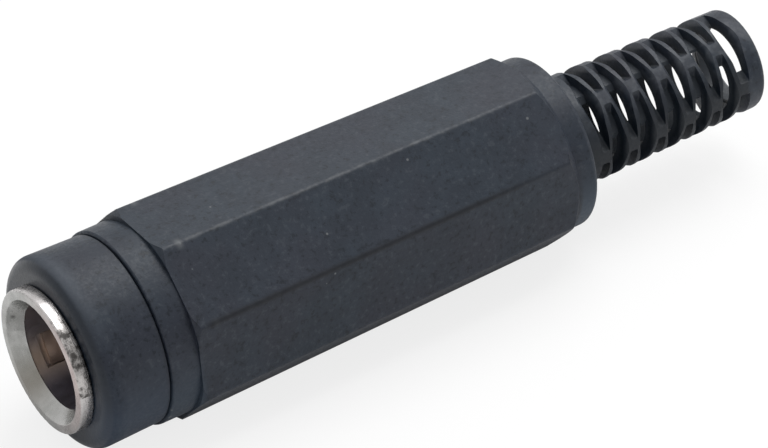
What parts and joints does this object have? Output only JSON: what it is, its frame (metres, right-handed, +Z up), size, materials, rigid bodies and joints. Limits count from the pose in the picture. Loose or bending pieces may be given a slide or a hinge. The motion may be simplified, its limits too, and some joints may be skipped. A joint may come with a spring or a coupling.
{
  "type": "dc barrel jack",
  "caption": "In-line barrel power jack with a plated mouth sleeve, a screwed collar, an octagonal grip and a slotted strain relief for a cable.",
  "frame": {"origin": "centre of the mouth sleeve's front face, on the axis of the socket", "axes": "+X along the axis from the mouth to the cable end, +Z up, with the grip lying on the flat that faces -Z"},
  "size_m": [0.0455, 0.0114, 0.0114],
  "materials": {
    "handle": "fine moulded grain",
    "collar": "smooth moulded",
    "sleeve": "nickel plated",
    "spring": "bright rolled strip",
    "pin": "nickel plated",
    "bush": "moulded",
    "washer": "pressed board",
    "tag": "tinned"
  },
  "bodies": {
    "root": {"handle": "handle", "front_collar": "collar", "mouth_sleeve": "sleeve", "contact_spring": "spring", "centre_pin": "pin", "pin_bush": "bush", "rear_washer": "washer", "sleeve_tag": "tag", "pin_tag": "tag"}
  },
  "joints": []
}
